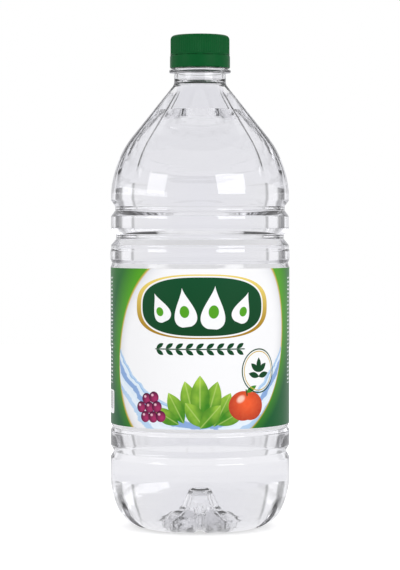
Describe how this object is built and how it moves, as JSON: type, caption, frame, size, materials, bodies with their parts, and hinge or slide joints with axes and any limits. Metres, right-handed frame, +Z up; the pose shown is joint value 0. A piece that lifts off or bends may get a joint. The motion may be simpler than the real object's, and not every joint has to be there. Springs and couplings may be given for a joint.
{
  "type": "vinegar bottle",
  "caption": "Tall clear plastic bottle of clear vinegar with grooved walls, a conical shoulder, a ribbed push-up base, a knurled screw cap with tamper band and a wrap-around label.",
  "frame": {"origin": "centre of the standing ring, on the surface the bottle rests on", "axes": "+Z up along the bottle's axis; the middle of the label's front faces -Y"},
  "size_m": [0.107, 0.107, 0.293],
  "materials": {
    "clear_plastic": "clear, glossy",
    "vinegar": "clear, colourless liquid",
    "cap_plastic": "satin",
    "label_film": "printed film, satin"
  },
  "bodies": {
    "root": {"bottle": "clear_plastic", "vinegar": "vinegar", "cap": "cap_plastic", "tamper_band": "cap_plastic", "label": "label_film"}
  },
  "joints": []
}
